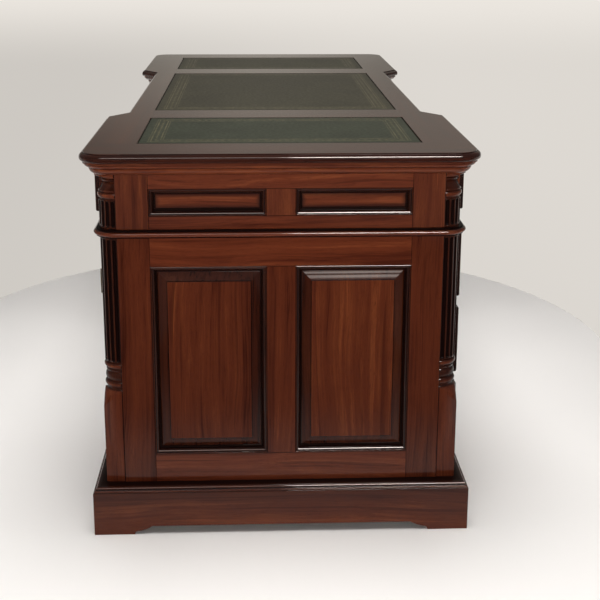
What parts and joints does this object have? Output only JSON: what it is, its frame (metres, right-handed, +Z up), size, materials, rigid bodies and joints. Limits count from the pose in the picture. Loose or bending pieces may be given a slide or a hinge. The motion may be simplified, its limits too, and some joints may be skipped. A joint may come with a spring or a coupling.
{
  "type": "pedestal desk",
  "caption": "Breakfront pedestal desk with leather-lined top, frieze drawers back to back, fluted corner columns, drawer pedestals with cupboards behind, and bracket-foot plinths.",
  "frame": {"origin": "on the floor below the middle of the top", "axes": "+X along the desk, +Y towards the cupboard side, +Z up"},
  "size_m": [1.8, 0.754, 0.78],
  "materials": {
    "mahogany": "gloss polish",
    "leather": "satin with a gold-tooled border",
    "drawer_lining": "waxed",
    "inner_wood": "plain",
    "brass": "polished"
  },
  "bodies": {
    "carcass": {"top_board": "mahogany", "writing_leathers": "leather", "cornice_moulding": "mahogany", "frieze_frame": "mahogany", "frieze_panels": "mahogany", "frieze_runners": "inner_wood", "frieze_columns": "mahogany", "waist_moulding": "mahogany", "left_pedestal_frame": "mahogany", "right_pedestal_frame": "mahogany", "pedestal_panels": "mahogany", "pedestal_columns": "mahogany", "left_plinth": "mahogany", "right_plinth": "mahogany", "pedestal_interiors": "inner_wood", "door_hinge_pins": "brass"},
    "front_left_frieze_drawer": {"front_left_frieze_drawer_front": "mahogany", "front_left_frieze_drawer_box": "drawer_lining", "front_left_frieze_drawer_knobs": "mahogany"},
    "back_left_frieze_drawer": {"back_left_frieze_drawer_front": "mahogany", "back_left_frieze_drawer_box": "drawer_lining", "back_left_frieze_drawer_knobs": "mahogany"},
    "front_centre_frieze_drawer": {"front_centre_frieze_drawer_front": "mahogany", "front_centre_frieze_drawer_box": "drawer_lining", "front_centre_frieze_drawer_knobs": "mahogany"},
    "back_centre_frieze_drawer": {"back_centre_frieze_drawer_front": "mahogany", "back_centre_frieze_drawer_box": "drawer_lining", "back_centre_frieze_drawer_knobs": "mahogany"},
    "front_right_frieze_drawer": {"front_right_frieze_drawer_front": "mahogany", "front_right_frieze_drawer_box": "drawer_lining", "front_right_frieze_drawer_knobs": "mahogany"},
    "back_right_frieze_drawer": {"back_right_frieze_drawer_front": "mahogany", "back_right_frieze_drawer_box": "drawer_lining", "back_right_frieze_drawer_knobs": "mahogany"},
    "left_upper_drawer": {"left_upper_drawer_front": "mahogany", "left_upper_drawer_box": "drawer_lining", "left_upper_drawer_knobs": "mahogany"},
    "right_upper_drawer": {"right_upper_drawer_front": "mahogany", "right_upper_drawer_box": "drawer_lining", "right_upper_drawer_knobs": "mahogany"},
    "left_middle_drawer": {"left_middle_drawer_front": "mahogany", "left_middle_drawer_box": "drawer_lining", "left_middle_drawer_knobs": "mahogany"},
    "right_middle_drawer": {"right_middle_drawer_front": "mahogany", "right_middle_drawer_box": "drawer_lining", "right_middle_drawer_knobs": "mahogany"},
    "left_lower_drawer": {"left_lower_drawer_front": "mahogany", "left_lower_drawer_box": "drawer_lining", "left_lower_drawer_knobs": "mahogany"},
    "right_lower_drawer": {"right_lower_drawer_front": "mahogany", "right_lower_drawer_box": "drawer_lining", "right_lower_drawer_knobs": "mahogany"},
    "left_door": {"left_door_frame": "mahogany", "left_door_panel": "mahogany", "left_door_hinges": "brass", "left_door_knob": "mahogany"},
    "right_door": {"right_door_frame": "mahogany", "right_door_panel": "mahogany", "right_door_hinges": "brass", "right_door_knob": "mahogany"}
  },
  "joints": [
    {"name": "front_left_frieze_drawer_slide", "type": "slide", "parent": "carcass", "child": "front_left_frieze_drawer", "axis": [0, -1, 0], "range_m": [0, 0.24]},
    {"name": "back_left_frieze_drawer_slide", "type": "slide", "parent": "carcass", "child": "back_left_frieze_drawer", "axis": [0, 1, 0], "range_m": [0, 0.24]},
    {"name": "front_centre_frieze_drawer_slide", "type": "slide", "parent": "carcass", "child": "front_centre_frieze_drawer", "axis": [0, -1, 0], "range_m": [0, 0.2]},
    {"name": "back_centre_frieze_drawer_slide", "type": "slide", "parent": "carcass", "child": "back_centre_frieze_drawer", "axis": [0, 1, 0], "range_m": [0, 0.2]},
    {"name": "front_right_frieze_drawer_slide", "type": "slide", "parent": "carcass", "child": "front_right_frieze_drawer", "axis": [0, -1, 0], "range_m": [0, 0.24]},
    {"name": "back_right_frieze_drawer_slide", "type": "slide", "parent": "carcass", "child": "back_right_frieze_drawer", "axis": [0, 1, 0], "range_m": [0, 0.24]},
    {"name": "left_upper_drawer_slide", "type": "slide", "parent": "carcass", "child": "left_upper_drawer", "axis": [0, -1, 0], "range_m": [0, 0.3]},
    {"name": "right_upper_drawer_slide", "type": "slide", "parent": "carcass", "child": "right_upper_drawer", "axis": [0, -1, 0], "range_m": [0, 0.3]},
    {"name": "left_middle_drawer_slide", "type": "slide", "parent": "carcass", "child": "left_middle_drawer", "axis": [0, -1, 0], "range_m": [0, 0.3]},
    {"name": "right_middle_drawer_slide", "type": "slide", "parent": "carcass", "child": "right_middle_drawer", "axis": [0, -1, 0], "range_m": [0, 0.3]},
    {"name": "left_lower_drawer_slide", "type": "slide", "parent": "carcass", "child": "left_lower_drawer", "axis": [0, -1, 0], "range_m": [0, 0.3]},
    {"name": "right_lower_drawer_slide", "type": "slide", "parent": "carcass", "child": "right_lower_drawer", "axis": [0, -1, 0], "range_m": [0, 0.3]},
    {"name": "left_door_hinge", "type": "hinge", "parent": "carcass", "child": "left_door", "pos_m": [-0.788, 0.3516, 0.3585], "axis": [0, 0, 1], "range_deg": [0, 110]},
    {"name": "right_door_hinge", "type": "hinge", "parent": "carcass", "child": "right_door", "pos_m": [0.788, 0.3516, 0.3585], "axis": [0, 0, -1], "range_deg": [0, 110]}
  ]
}
